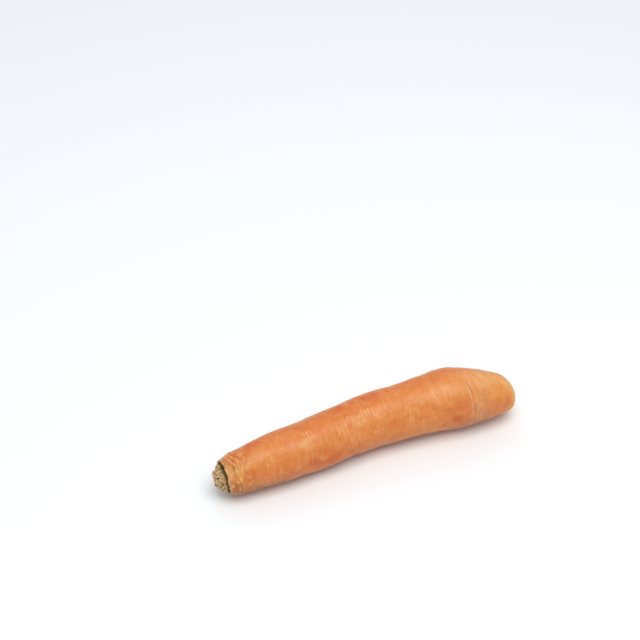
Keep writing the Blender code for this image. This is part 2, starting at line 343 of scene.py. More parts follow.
@dataclass(frozen=True)
class CarrotSkin:
    """Washed carrot skin: thin, moist and half matt over flesh that lets light in a little.

    It gives the eye soft broad highlights, a salmon orange that is paler where rings and scars
    have dried, and a dull film low on the sides. Some of its colour is painted light: painted
    shade along the top edge, low on the sides, in grooves and in the crown's hollow, and a
    painted sheen on the band that faces the light.
    """

    crown_tan: str = "#D79A5A"
    shoulder: str = "#CB7833"
    body: str = "#D47731"
    waist: str = "#D67A33"
    belly: str = "#D87F38"
    tip_band: str = "#D88844"
    tip: str = "#E29236"
    pale_skin: str = "#DA9757"
    deep_skin: str = "#C75E18"
    dull: str = "#9F5E36"
    # One colour for each mark below, in order. Besides the skin's own tones they hold painted light: the
    # first, a darker orange, is also painted shade along the top edge; the second and the fourth, dull
    # pinkish and brown, are also painted shade low on the sides; the third, a gold, is also a painted
    # sheen on the band that faces the light; the fifth, pale, is partly painted sheen there too; the
    # sixth paints shade in grooves, and the last paints shade in the crown's hollow.
    hues: tuple[str, ...] = (
        "#C75E18", "#B97F5E", "#D69F50", "#965E2E", "#E2AC74", "#80451C", "#BF9E6C", "#4E3A1E"
    )  # fmt: skip
    marks: ClassVar[tuple[str, ...]] = (
        "deep_orange_and_top_shade", "bloom_and_low_shade", "gold_and_sheen", "brown", "pale", "furrow_and_shade", "rim", "hollow"
    )  # fmt: skip
    moss: str = "#695D31"
    streak_along_mm: float = 0.9
    streak_around_mm: float = 5.0
    mottle_mm: float = 4.2
    blotch_mm: float = 9.0
    speck_mm: float = 0.8
    lenticel_mm: tuple[float, float] = (1.7, 3.4)
    stria_mm: float = 0.40  # the finest rings; real ones are finer, but wouldn't show
    roughness: float = 0.40
    scar_roughness: float = 0.66

    def colour(self, tree: bpy.types.NodeTree) -> bpy.types.NodeSocket:
        """Builds the skin's colour from the length, the rings and what the relief marks.

        Args:
            tree: The material's node tree.

        Returns:
            The colour socket.
        """
        grown = add_node(tree, "ShaderNodeAttribute", attribute_name="grown").outputs["Vector"]
        share = add_node(tree, "ShaderNodeAttribute", attribute_name="share").outputs["Fac"]
        marks = {
            name: add_node(tree, "ShaderNodeAttribute", attribute_name=name).outputs["Fac"]
            for name in self.marks
        }
        stops = (
            (0.000, self.crown_tan), (0.035, self.shoulder), (0.120, self.body),
            (0.450, self.waist), (0.720, self.belly), (0.860, self.tip_band), (0.960, self.tip),
        )  # fmt: skip
        colour = add_node(
            tree, "ShaderNodeValToRGB", {0: share}, [(at, linear(hue)) for at, hue in stops]
        ).outputs[0]
        around = self.streak_around_mm
        cloud = self.noise(tree, grown, (1.6 * self.blotch_mm, self.blotch_mm, self.blotch_mm), 2.0)
        mottle = self.noise(tree, grown, (self.mottle_mm,) * 3, 4.0)
        streak = self.noise(tree, grown, (self.streak_along_mm, around, around), 3.0)
        speck = self.noise(tree, grown, (self.speck_mm,) * 3, 2.0)
        fields = (
            (cloud, 0.50, 0.74, 0.35, self.deep_skin), (cloud, 0.48, 0.26, 0.30, self.pale_skin),
            (mottle, 0.52, 0.72, 0.50, self.pale_skin), (mottle, 0.46, 0.26, 0.42, self.deep_skin),
            (streak, 0.54, 0.80, 0.48, self.pale_skin), (streak, 0.46, 0.20, 0.38, self.dull),
            (speck, 0.55, 0.74, 0.46, self.pale_skin), (speck, 0.45, 0.24, 0.48, self.dull),
        )  # fmt: skip
        colour = layered(tree, colour, fields)
        pale = self.hues[self.marks.index("pale")]
        colour = tinted(tree, colour, pale, self.lenticels(tree, grown, cloud))
        # Several of these marks are painted light as well as the skin's own colour: shade along the top
        # edge, low on the sides, in grooves and in the crown's hollow, and a sheen on the band that
        # faces the light.
        for name, hue in zip(self.marks, self.hues):
            colour = tinted(tree, colour, hue, marks[name])
        moss = add_node(
            tree, "ShaderNodeMath", {0: marks["hollow"], 1: mottle}, operation="MULTIPLY"
        ).outputs[0]
        return tinted(tree, colour, self.moss, moss)

    def lenticels(
        self, tree: bpy.types.NodeTree, grown: bpy.types.NodeSocket, cloud: bpy.types.NodeSocket
    ) -> bpy.types.NodeSocket:
        """Short pale dashes across the root, which come in loose groups.

        Args:
            tree: The material's node tree.
            grown: The socket with the place on the straightened root.
            cloud: A slow noise that says where the groups are.

        Returns:
            The socket that is over 0 on a dash.
        """
        along, around = self.lenticel_mm
        mapped = add_node(
            tree, "ShaderNodeMapping",
            {"Vector": grown, "Scale": [per_metre(along), per_metre(around), per_metre(around)]},
        ).outputs[0]  # fmt: skip
        cells = add_node(tree, "ShaderNodeTexVoronoi", {"Vector": mapped, "Scale": 1.0})
        dash = add_node(
            tree, "ShaderNodeMapRange", {0: cells.outputs["Distance"], 1: 0.34, 2: 0.16, 3: 0.0, 4: 0.55}
        ).outputs[0]
        some = add_node(
            tree, "ShaderNodeMapRange", {0: cells.outputs["Color"], 1: 0.55, 2: 0.85, 3: 0.0, 4: 1.0}
        ).outputs[0]
        group = add_node(
            tree, "ShaderNodeMapRange", {0: cloud, 1: 0.42, 2: 0.56, 3: 1.0, 4: 0.15}
        ).outputs[0]
        dash = add_node(tree, "ShaderNodeMath", {0: dash, 1: some}, operation="MULTIPLY").outputs[0]
        return add_node(tree, "ShaderNodeMath", {0: dash, 1: group}, operation="MULTIPLY").outputs[0]

    def noise(
        self, tree: bpy.types.NodeTree, grown: Any, cell_mm: Sequence[float], detail: float
    ) -> bpy.types.NodeSocket:
        """Noise that follows the straightened root, with cells of a size in millimetres.

        Args:
            tree: The material's node tree.
            grown: The socket with the place on the straightened root.
            cell_mm: Size of a cell along the root and both ways across it.
            detail: How many finer layers the noise has.

        Returns:
            The noise's socket, from 0 to 1.
        """
        mapped = add_node(
            tree, "ShaderNodeMapping", {"Vector": grown, "Scale": [per_metre(c) for c in cell_mm]}
        ).outputs[0]
        return add_node(
            tree, "ShaderNodeTexNoise", {"Vector": mapped, "Scale": 1.0, "Detail": detail}
        ).outputs[0]

    def build(self) -> bpy.types.Material:
        """Makes the material.

        Returns:
            The skin's material.
        """
        skin, tree, shader = new_material("washed_carrot_skin")
        tree.links.new(self.colour(tree), shader.inputs["Base Color"])
        grown = add_node(tree, "ShaderNodeAttribute", attribute_name="grown").outputs["Vector"]
        pale = add_node(tree, "ShaderNodeAttribute", attribute_name="pale").outputs["Fac"]
        patchy = self.noise(tree, grown, (self.mottle_mm,) * 3, detail=3.0)
        uneven = add_node(
            tree, "ShaderNodeMapRange",
            {0: patchy, 1: 0.3, 2: 0.7, 3: self.roughness - 0.07, 4: self.roughness + 0.09},
        ).outputs[0]  # fmt: skip
        rough = add_node(
            tree, "ShaderNodeMix", {0: pale, 2: uneven, 3: self.scar_roughness}, data_type="FLOAT"
        ).outputs[0]
        tree.links.new(rough, shader.inputs["Roughness"])
        around = 9 * self.stria_mm
        striae = self.noise(tree, grown, (self.stria_mm, around, around), detail=4.0)
        relief = add_node(
            tree, "ShaderNodeBump", {"Strength": 0.5, "Distance": 0.14 * MM, "Height": striae}
        ).outputs[0]
        tree.links.new(relief, shader.inputs["Normal"])
        shader.inputs["Metallic"].default_value = 0.0
        shader.inputs["IOR"].default_value = 1.47
        shader.inputs["Specular IOR Level"].default_value = 0.42
        shader.inputs["Subsurface Weight"].default_value = 0.16
        shader.inputs["Subsurface Radius"].default_value = (1.0, 0.42, 0.16)
        shader.inputs["Subsurface Scale"].default_value = 1.8 * MM
        shader.inputs["Coat Weight"].default_value = 0.06
        shader.inputs["Coat Roughness"].default_value = 0.30
        return skin


@dataclass(frozen=True)
class DryStalk:
    """Cut and dried leaf stalk: stringy, straw-brown and fully matt, darker low in the crown as painted
    shade.
    """

    straw: str = "#CFA26A"
    pale_straw: str = "#EDCFA4"
    brown: str = "#8F5E28"
    painted_shade_brown: str = "#4A351A"
    moss: str = "#6E5E34"
    string_along_mm: float = 3.0
    string_across_mm: float = 0.35
    blotch_mm: float = 2.8

    def build(self) -> bpy.types.Material:
        """Makes the material.

        Returns:
            The stalk's material.
        """
        stalk, tree, shader = new_material("dried_leaf_stalk")
        at = add_node(tree, "ShaderNodeTexCoord").outputs["Object"]
        height = add_node(tree, "ShaderNodeAttribute", attribute_name="height").outputs["Fac"]
        core = add_node(tree, "ShaderNodeAttribute", attribute_name="core").outputs["Fac"]
        cell = [per_metre(s) for s in (self.string_along_mm, self.string_across_mm,
                                       self.string_across_mm)]  # fmt: skip
        drawn = add_node(tree, "ShaderNodeMapping", {"Vector": at, "Scale": cell}).outputs[0]
        strings = add_node(
            tree, "ShaderNodeTexNoise", {"Vector": drawn, "Scale": 1.0, "Detail": 3.0}
        ).outputs[0]
        hues = [(0.30, linear(self.brown)), (0.46, linear(self.straw)),
                (0.66, linear(self.pale_straw))]  # fmt: skip
        colour = add_node(tree, "ShaderNodeValToRGB", {0: strings}, hues).outputs[0]
        blotch = add_node(
            tree, "ShaderNodeTexNoise",
            {"Vector": at, "Scale": per_metre(self.blotch_mm), "Detail": 3.0},
        ).outputs[0]  # fmt: skip
        fields = (
            (blotch, 0.50, 0.64, 0.70, self.moss),  # green blotches
            (blotch, 0.48, 0.30, 0.75, self.brown),  # stains
            (height, 0.88, 1.0, 0.60, self.pale_straw),  # the fresh cut's paler lip, partly a painted highlight on its edge
            (core, 0.40, 1.0, 0.75, self.brown),  # the sunken middle of the cut
            (height, 1.0, 0.62, 0.85, self.moss),  # the flanks, olive and darker downwards: partly their own olive, partly painted shade in the groove
            (height, 0.78, 0.42, 0.94, self.painted_shade_brown),  # painted shade, low between the bases
        )
        colour = layered(tree, colour, fields)
        tree.links.new(colour, shader.inputs["Base Color"])
        relief = add_node(
            tree, "ShaderNodeBump", {"Strength": 0.6, "Distance": 0.12 * MM, "Height": strings}
        ).outputs[0]
        tree.links.new(relief, shader.inputs["Normal"])
        rough = add_node(
            tree, "ShaderNodeMapRange", {0: strings, 1: 0.3, 2: 0.7, 3: 0.92, 4: 0.74}
        ).outputs[0]
        tree.links.new(rough, shader.inputs["Roughness"])
        shader.inputs["Specular IOR Level"].default_value = 0.3
        return stalk


# --- the root ----------------------------------------------------------------------------


@dataclass
class RootForm:
    """The form of the root, as its solid has it: lengths in metres, places as shares."""

    length: float = 0.1668
    belly_radius: float = 0.0167
    rim_radius: float = 0.0088
    hollow_depth: float = 0.0024
    hollow_radius: float = 0.0074
    seat_depth: float = 0.00045  # how far the low places of the underside are pressed flat
    shoulder_to_tip: tuple[tuple[float, float], ...] = (
        (0.00, 0.545), (0.03, 0.658), (0.08, 0.726), (0.13, 0.762), (0.20, 0.804),
        (0.30, 0.848), (0.42, 0.852), (0.54, 0.886), (0.66, 0.920), (0.74, 0.976),
        (0.79, 1.008), (0.83, 0.958), (0.87, 0.884), (0.91, 0.810), (0.955, 0.680), (1.00, 0.545),
    )  # fmt: skip
    heart_aside: tuple[tuple[float, float], ...] = (
        (0.00, -0.0028), (0.15, -0.0022), (0.32, -0.0003), (0.48, 0.0022),
        (0.66, 0.0012), (0.80, -0.0011), (0.92, -0.0041), (1.00, -0.0055),
    )  # fmt: skip
    heart_up: tuple[tuple[float, float], ...] = (
        (0.00, 0.0119), (0.12, 0.0134), (0.27, 0.0138), (0.50, 0.0149), (0.68, 0.0156),
        (0.79, 0.0165), (0.86, 0.0159), (0.92, 0.0142), (0.97, 0.0125), (1.00, 0.0112),
    )  # fmt: skip
    # share of the length, depth, half width, middle angle, and the angle over which it fades
    creases: tuple[tuple[float, float, float, float, float], ...] = (
        (0.818, 0.00050, 0.0011, 40.0, 75.0),
        (0.843, 0.00024, 0.0009, 60.0, 90.0),
        (0.863, 0.00030, 0.0010, 75.0, 80.0),
        (0.884, 0.00026, 0.0009, 30.0, 85.0),
        (0.425, 0.00045, 0.0016, 115.0, 60.0),
        (0.235, 0.00024, 0.0013, 215.0, 80.0),
        (0.600, 0.00030, 0.0014, 300.0, 70.0),
        (0.715, 0.00028, 0.0013, 10.0, 60.0),
    )
    # share of the length, height, half length, angle round the root, half angle
    knobs: tuple[tuple[float, float, float, float, float], ...] = (
        (0.462, 0.00055, 0.0060, 125.0, 45.0),
        (0.770, 0.00030, 0.0090, 340.0, 50.0),
        (0.170, 0.00025, 0.0090, 130.0, 60.0),
    )
    cap_start: float = 0.955
    cap_power: float = 2.1
    waves: int = 7
    wave_height: float = 0.00010
    wave_turns: tuple[float, float] = (1.5, 7.0)
    ovalness: float = 0.018
    oval_turn: float = math.radians(25)
    fade_in: float = 0.010  # from the rim, over which the unevenness grows
    fade_out: float = 0.011  # before the tip, over which it dies out
    crown_tilt: float = math.radians(3.5)  # the crown is oblique: one side reaches further out
    tilt_towards: float = math.radians(-41)  # that side, from the top to the front
    tilt_reach: float = 0.030  # from the rim, over which the tilt dies out

    def heart(self, along: np.ndarray) -> tuple[np.ndarray, np.ndarray]:
        """Where the root's heart line is: aside and up, at distances from the crown rim."""
        share = along / self.length
        return smooth_curve(self.heart_aside, share), smooth_curve(self.heart_up, share)

    def on_heart(self, points: np.ndarray) -> np.ndarray:
        """Moves points made on the X axis on to the heart line, and makes the crown oblique.

        Args:
            points: One row of x, y and z for each point.

        Returns:
            The moved points.
        """
        aside, up = self.heart(points[:, 0])
        towards = self.tilt_towards
        out = math.cos(towards) * points[:, 2] - math.sin(towards) * points[:, 1]
        fade = np.clip(1 - points[:, 0] / self.tilt_reach, 0.0, 1.0)
        return points + np.stack([-math.tan(self.crown_tilt) * out * fade**2, aside, up], 1)

    def radius(self, along: np.ndarray) -> np.ndarray:
        """The root's radius before anything uneven is added.

        Args:
            along: Distances from the crown rim.

        Returns:
            The radius at each distance.
        """
        share = along / self.length
        u = np.clip((share - self.cap_start) / (1 - self.cap_start), 0.0, 1.0)
        cap = (1 - u**self.cap_power) ** (1 / self.cap_power)
        return self.belly_radius * smooth_curve(self.shoulder_to_tip, share) * cap

    def wave_set(self) -> list[tuple[float, int, float]]:
        """The root's seeded waves: turns along it, turns round it, and phase."""
        rng = random.Random(11)
        return [
            (rng.uniform(*self.wave_turns), rng.choice((0, 1, 1, 2, 3)), rng.uniform(0, 2 * math.pi))
            for _ in range(self.waves)
        ]

    def unevenness(self, along: np.ndarray, angle: np.ndarray) -> np.ndarray:
        """How far the plain solid stands out of the turned shape.

        Args:
            along: Distances from the crown rim.
            angle: Angles in degrees from the top.

        Returns:
            The height at each place.
        """
        turn = np.radians(angle)
        out = self.ovalness * self.radius(along) * np.cos(2 * (turn - self.oval_turn))
        for turns, round_turns, phase in self.wave_set():
            wave = 2 * math.pi * turns * along / self.length + round_turns * turn + phase
            out += self.wave_height * np.sin(wave)
        for share, depth, half_width, middle, spread in self.creases:
            ring = bell((along - share * self.length) / half_width)
            out -= depth * ring * bell(apart(angle, middle) / spread)
        for share, height, half_length, middle, spread in self.knobs:
            knob = bell((along - share * self.length) / half_length)
            out += height * knob * bell(apart(angle, middle) / spread)
        fade = np.minimum(along / self.fade_in, (self.length - along) / self.fade_out)
        return out * np.clip(fade, 0.0, 1.0)


class MarkKind(Enum):
    """What a mark on the skin is."""

    SCAR = "a short sunken line with dried, paler lips, where a side root was"
    WELT = "a thin raised ring, pale where it has dried"
    # A crease's darker ring is painted shade in its groove; a dot's dark middle is partly painted shade
    # in its pit.
    CREASE = "a narrow, darker ring pressed into the skin"
    DOT = "a small pale knot with a dark middle, the base of a hair root"


@dataclass(frozen=True)
class Mark:
    """One mark, or a row of like marks one beyond the other along the root.

    Attributes:
        kind: What it is.
        share: Its place along the root.
        angle: Its middle, as an angle round the root.
        length_mm: Its length round the root, or a dot's diameter.
        strength: How plain it is, from 0 to 1.
        count: How many marks the row has.
        spacing_mm: From one mark of the row to the next.
        slant: How far it runs towards the tip per length round the root.
    """

    kind: MarkKind
    share: float
    angle: float
    length_mm: float
    strength: float = 1.0
    count: int = 1
    spacing_mm: float = 2.2
    slant: float = 0.0


@dataclass(frozen=True)
class Patch:
    """A soft-edged area of another colour: place, half length, angle, half angle, strength."""

    share: float
    half_share: float
    angle: float
    half_angle: float
    strength: float


@dataclass
class SkinRelief:
    """The fine relief of the skin and the marks that its colour follows."""

    form: RootForm
    scar_depth: float = 0.26 * MM
    scar_half_width: float = 0.42 * MM
    lip: float = 0.40  # height of a scar's lips, as a share of its depth
    welt_height: float = 0.14 * MM
    crease_depth: float = 0.13 * MM
    dot_height: float = 0.22 * MM
    wander: float = 0.20 * MM
    ring_height: float = 0.022 * MM
    lump_height: float = 0.055 * MM
    wrinkle_height: float = 0.17 * MM
    wrinkle_length: float = 0.015  # how far the shoulder's wrinkles reach from the rim
    stray_scars: int = 72
    stray_welts: int = 34
    stray_dots: int = 40
    row_jitter: float = 0.18  # how much the marks of a row differ, as a share
    marks: tuple[Mark, ...] = (
        Mark(MarkKind.SCAR, 0.235, 37.0, 3.6, 0.9, 2, 1.8, 0.10),
        Mark(MarkKind.SCAR, 0.266, 33.0, 4.4, 1.0, slant=0.16),
        Mark(MarkKind.SCAR, 0.262, 18.0, 3.4, 0.8, 2, 2.4),
        Mark(MarkKind.WELT, 0.368, 42.0, 8.0, 0.8, 3, 2.1, 0.05),
        Mark(MarkKind.SCAR, 0.402, 27.0, 4.0, 0.8, 3, 2.3, 0.08),
        Mark(MarkKind.SCAR, 0.446, 42.0, 3.4, 0.7, 2, 2.2, 0.08),
        Mark(MarkKind.SCAR, 0.452, 24.0, 4.6, 1.0, 4, 2.0, 0.12),
        Mark(MarkKind.SCAR, 0.500, 34.0, 3.0, 0.9),
        Mark(MarkKind.CREASE, 0.426, 100.0, 16.0, 0.6),
        Mark(MarkKind.SCAR, 0.615, 50.0, 3.0, 0.6, 2, 2.6),
        Mark(MarkKind.SCAR, 0.636, 36.0, 5.0, 0.5, 2, 2.8),
        Mark(MarkKind.WELT, 0.700, 28.0, 9.0, 0.5, 4, 2.7, 0.04),
        Mark(MarkKind.CREASE, 0.818, 38.0, 7.0, 1.0, slant=0.12),
        Mark(MarkKind.WELT, 0.812, 62.0, 22.0, 0.8),
        Mark(MarkKind.WELT, 0.829, 70.0, 26.0, 0.7, 2, 2.2),
        Mark(MarkKind.CREASE, 0.843, 66.0, 20.0, 0.14),
        Mark(MarkKind.CREASE, 0.862, 62.0, 22.0, 0.16),
        Mark(MarkKind.CREASE, 0.884, 58.0, 18.0, 0.10),
        Mark(MarkKind.DOT, 0.856, 37.0, 2.0, 1.0),
        Mark(MarkKind.DOT, 0.918, 58.0, 1.2, 0.8, 2, 1.9),
        Mark(MarkKind.DOT, 0.936, 70.0, 1.3, 0.8),
        Mark(MarkKind.DOT, 0.504, 39.0, 1.3, 0.8),
        Mark(MarkKind.CREASE, 0.020, 28.0, 4.0, 0.9),
    )
    # Patches of darker orange. Those at -22 to 2 degrees, along the top edge, are painted shade; the
    # others are the skin's own tone.
    deep_orange_and_top_shade: tuple[Patch, ...] = (
        Patch(0.772, 0.038, 82.0, 26.0, 0.85),
        Patch(0.280, 0.080, 86.0, 26.0, 0.75),
        Patch(0.370, 0.045, 96.0, 24.0, 0.55),
        Patch(0.560, 0.070, 98.0, 18.0, 0.25),
        Patch(0.060, 0.026, 62.0, 14.0, 0.85),
        Patch(0.110, 0.070, -15.0, 22.0, 0.45),
        Patch(0.450, 0.200, -10.0, 16.0, 0.30),
        Patch(0.930, 0.030, 72.0, 30.0, 0.65),
        Patch(0.450, 0.500, -22.0, 20.0, 0.40),
        Patch(0.925, 0.030, 98.0, 18.0, 0.40),
        Patch(0.880, 0.030, 106.0, 12.0, 0.35),
        Patch(0.760, 0.050, 102.0, 15.0, 0.40),
        Patch(0.320, 0.100, 94.0, 15.0, 0.25),
        Patch(0.014, 0.018, 92.0, 26.0, 0.75),
        Patch(0.040, 0.050, 2.0, 18.0, 0.70),
        Patch(0.560, 0.060, 230.0, 35.0, 0.35),
        Patch(0.240, 0.050, 270.0, 30.0, 0.30),
        Patch(0.800, 0.050, 300.0, 35.0, 0.40),
    )
    # Dull pinkish patches of dried skin. Those at 92 to 134 degrees, low on the front towards the floor,
    # are partly painted shade.
    bloom_and_low_shade: tuple[Patch, ...] = (
        Patch(0.130, 0.110, 122.0, 26.0, 0.55),
        Patch(0.340, 0.100, 134.0, 20.0, 0.40),
        Patch(0.490, 0.060, 122.0, 22.0, 0.60),
        Patch(0.640, 0.080, 124.0, 22.0, 0.35),
        Patch(0.850, 0.035, 92.0, 45.0, 0.45),
        Patch(0.820, 0.045, 124.0, 16.0, 0.60),
        Patch(0.300, 0.080, 250.0, 35.0, 0.40),
        Patch(0.780, 0.080, 225.0, 40.0, 0.40),
    )
    # Gold patches. At the tip, at 8 and 10 degrees, they are its own colour; those at 28 to 44 degrees
    # are a painted sheen on the band that faces the light, and the one at 72 degrees on the tip's end is
    # painted light where that end faces away from the light.
    gold_and_sheen: tuple[Patch, ...] = (
        Patch(0.985, 0.018, 8.0, 50.0, 0.60),
        Patch(0.955, 0.030, 10.0, 50.0, 0.20),
        Patch(0.990, 0.024, 72.0, 45.0, 0.40),
        Patch(0.100, 0.060, 28.0, 24.0, 0.18),
        Patch(0.680, 0.080, 34.0, 22.0, 0.16),
        Patch(0.032, 0.022, 44.0, 32.0, 0.40),
        Patch(0.420, 0.420, 42.0, 18.0, 0.14),
    )
    # Paler patches on the band that faces the light, at 18 to 42 degrees: painted sheen, partly paler
    # dried skin.
    peach_and_sheen: tuple[Patch, ...] = (
        Patch(0.862, 0.048, 18.0, 28.0, 0.55),
        Patch(0.940, 0.036, 22.0, 22.0, 0.40),
        Patch(0.725, 0.050, 32.0, 20.0, 0.30),
        Patch(0.460, 0.055, 40.0, 13.0, 0.20),
        Patch(0.275, 0.060, 42.0, 14.0, 0.30),
    )
    # Brown patches. Those at 112 to 136 degrees, low on the front towards the floor, are partly painted
    # shade; the rest are stains.
    brown: tuple[Patch, ...] = (
        Patch(0.008, 0.014, 112.0, 45.0, 0.60),
        Patch(0.004, 0.010, -14.0, 26.0, 0.50),
        Patch(0.022, 0.006, 30.0, 9.0, 0.60),
        Patch(0.055, 0.040, 112.0, 20.0, 0.65),
        Patch(0.140, 0.090, 124.0, 20.0, 0.55),
        Patch(0.330, 0.120, 136.0, 18.0, 0.40),
        Patch(0.830, 0.080, 126.0, 20.0, 0.55),
        Patch(0.076, 0.008, 112.0, 6.0, 0.45),
        Patch(0.010, 0.016, 200.0, 60.0, 0.45),
    )

    def stray_marks(self) -> list[Mark]:
        """Strews marks over the whole root, denser towards the crown.

        Returns:
            The marks, the same ones each time.
        """
        rng = random.Random(23)
        found = []
        counts = (
            (MarkKind.SCAR, self.stray_scars, (1.6, 4.6), (0.15, 0.75)),
            (MarkKind.WELT, self.stray_welts, (5.0, 15.0), (0.15, 0.50)),
            (MarkKind.DOT, self.stray_dots, (0.7, 1.3), (0.25, 0.80)),
        )
        for kind, count, lengths, strengths in counts:
            for _ in range(count):
                share = 0.04 + 0.93 * rng.random() ** 1.15
                angle = rng.uniform(0.0, 360.0)
                length = rng.uniform(*lengths)
                strength = rng.uniform(*strengths)
                found.append(Mark(kind, share, angle, length, strength, slant=rng.uniform(-0.1, 0.1)))
        return found

    def press(
        self, mark: Mark, along: np.ndarray, angle: np.ndarray, layers: dict[str, np.ndarray]
    ) -> None:
        """Adds a mark's relief and colour to the layers, each of a row a little different.

        Args:
            mark: The mark, or the row of marks.
            along: Distances from the crown rim.
            angle: Angles in degrees from the top.
            layers: Arrays named height, pale and furrow, which are changed.
        """
        rng = random.Random(round(1e4 * mark.share + mark.angle))
        middle = mark.share * self.form.length
        for step in range(mark.count):
            jitter = self.row_jitter * min(mark.count - 1, 1)
            size = 0.5 * mark.length_mm * MM * (1 + rng.uniform(-jitter, jitter))
            shift = rng.uniform(-jitter, jitter) * mark.length_mm * MM
            phases = [rng.uniform(0, 2 * math.pi) for _ in range(3)]
            strength = mark.strength * (1 + rng.uniform(-1.5 * jitter, jitter))
            near = np.flatnonzero(np.abs(along - middle) < 1.5 * MM + 0.15 * size)
            across = np.radians(apart(angle[near], mark.angle))
            across = across * self.form.radius(np.clip(along[near], 0, self.form.length)) - shift
            keep = np.abs(across) < 1.2 * size + 1.0 * MM
            near, across = near[keep], across[keep]
            wander = self.wander * (np.sin(across / (0.55 * MM) + phases[0]) * 0.4
                                    + np.sin(across / (1.5 * MM) + phases[1]))  # fmt: skip
            beyond = along[near] - middle - mark.slant * across - wander
            end = ramp(np.abs(across), size, 0.4 * size)
            end = end * (0.78 + 0.30 * np.sin(across / (0.8 * MM) + phases[2]))
            self.press_one(mark.kind, 0.5 * mark.length_mm * MM, beyond, across, end * strength,
                           {name: (layer, near) for name, layer in layers.items()})  # fmt: skip
            middle += mark.spacing_mm * MM * (1 + rng.uniform(-jitter, jitter))

    def press_one(
        self,
        kind: MarkKind,
        half: float,
        beyond: np.ndarray,
        across: np.ndarray,
        end: np.ndarray,
        layers: dict[str, tuple[np.ndarray, np.ndarray]],
    ) -> None:
        """Adds one mark to the layers.

        Args:
            kind: What it is.
            half: Half its length, or a dot's radius.
            beyond: Distances along the root from the mark's middle line.
            across: Distances round the root from its middle.
            end: Its strength, which falls to 0 at its ends.
            layers: For height, pale and furrow, the whole layer and the places that it touches.
        """
        width = self.scar_half_width
        # The darker colour in a scar's groove and a crease, and in a dot's middle, is painted shade; in
        # a dot it is partly the hair root's own dark base.
        made: dict[str, np.ndarray] = {}
        if kind is MarkKind.SCAR:
            groove = bell(beyond / width) * end
            lips = (bell((beyond + 1.9 * width) / width) + 0.6 * bell((beyond - 1.9 * width) / width))
            made["height"] = self.scar_depth * (self.lip * lips * end - groove)
            made["pale"] = 0.85 * lips * end + 0.30 * groove
            made["furrow_and_shade"] = 0.16 * groove
        elif kind is MarkKind.WELT:
            ridge = bell(beyond / (1.3 * width)) * end
            made["height"] = self.welt_height * ridge
            made["pale"] = 0.70 * ridge
        elif kind is MarkKind.CREASE:
            groove = bell(beyond / (1.1 * width)) * end
            made["height"] = -self.crease_depth * groove
            made["furrow_and_shade"] = 0.55 * groove
            made["pale"] = 0.30 * end * bell((beyond + 2.6 * width) / (1.4 * width))
        else:
            off = np.hypot(beyond, across)
            knot = bell(off / half)
            made["height"] = self.dot_height * (knot - 0.8 * bell(off / (0.4 * half)))
            made["pale"] = 0.55 * knot
            made["furrow_and_shade"] = 0.40 * bell(off / (0.4 * half))
            made = {name: value * end.max(initial=0.0) for name, value in made.items()}
        for name, value in made.items():
            layer, near = layers[name]
            layer[near] += value

    def patches(
        self, wanted: Iterable[Patch], along: np.ndarray, angle: np.ndarray, field_: np.ndarray
    ) -> np.ndarray:
        """How strong a set of patches is at each place, with edges broken up by a field.

        Args:
            wanted: The patches.
            along: Distances from the crown rim.
            angle: Angles in degrees from the top.
            field_: A random value for each place, about 0 on average.

        Returns:
            The strength at each place, from 0 to 0.9.
        """
        total = np.zeros(len(along))
        for patch in wanted:
            spot = bell((along / self.form.length - patch.share) / patch.half_share)
            spot = spot * bell(apart(angle, patch.angle) / patch.half_angle)
            total += patch.strength * spot
        return np.clip(total * (0.85 + 0.35 * field_), 0.0, 0.9)

    def layers(self, along: np.ndarray, angle: np.ndarray, grown: np.ndarray) -> dict[str, np.ndarray]:
        """Works out the relief and every colour mark.

        Args:
            along: Distances from the crown rim.
            angle: Angles in degrees from the top.
            grown: Places on the straightened root.

        Returns:
            Arrays named height, pale, furrow, rim, deep, bloom, golden and brown.
        """
        made = {name: np.zeros(len(along)) for name in ("height", "pale", "furrow_and_shade")}
        for mark in (*self.marks, *self.stray_marks()):
            self.press(mark, along, angle, made)
        rings = wave_field(grown, (1.9 * MM, 14 * MM, 14 * MM), 5, 24)
        where = ramp(wave_field(grown, (16 * MM, 12 * MM, 12 * MM), 6), -0.6, 1.2)
        made["height"] += self.ring_height * rings * (0.3 + where)
        made["pale"] += 0.16 * where * ramp(rings, 0.3, 1.6)
        made["height"] += self.lump_height * wave_field(grown, (9 * MM,) * 3, 7)
        made["height"] += 0.35 * self.lump_height * wave_field(grown, (3.2 * MM,) * 3, 8, 24)
        wrinkle = wave_field(grown, (1.3 * MM, 5.0 * MM, 5.0 * MM), 9, 36)
        near_rim = ramp(along, self.wrinkle_length, 0.2 * self.wrinkle_length)
        near_rim = near_rim * ramp(wave_field(grown, (4 * MM,) * 3, 10), -1.6, 0.8)
        made["height"] += self.wrinkle_height * wrinkle * near_rim * ramp(along, 0.2 * MM, 1.6 * MM)
        made["pale"] += 0.85 * near_rim * ramp(wrinkle, 0.35, 1.3)
        # darker in the wrinkles' troughs: painted shade
        made["furrow_and_shade"] += 0.48 * near_rim * ramp(wrinkle, -0.4, -1.5)
        made["rim"] = 0.75 * bell(along / (0.7 * MM)) * ramp(
            wave_field(grown, (3 * MM, 1.8 * MM, 1.8 * MM), 14, 24), -1.4, 0.6
        )
        cloud = wave_field(grown, (7 * MM, 9 * MM, 9 * MM), 12)
        for name in ("deep_orange_and_top_shade", "bloom_and_low_shade", "gold_and_sheen", "brown"):
            made[name] = self.patches(getattr(self, name), along, angle, cloud)
        # paler on the band that faces the light: painted sheen, partly paler dried skin
        made["pale"] += self.patches(self.peach_and_sheen, along, angle, cloud)
        made["pale"] = np.clip(made["pale"], 0.0, 0.85)
        made["furrow_and_shade"] = np.clip(made["furrow_and_shade"], 0.0, 0.9)
        return made


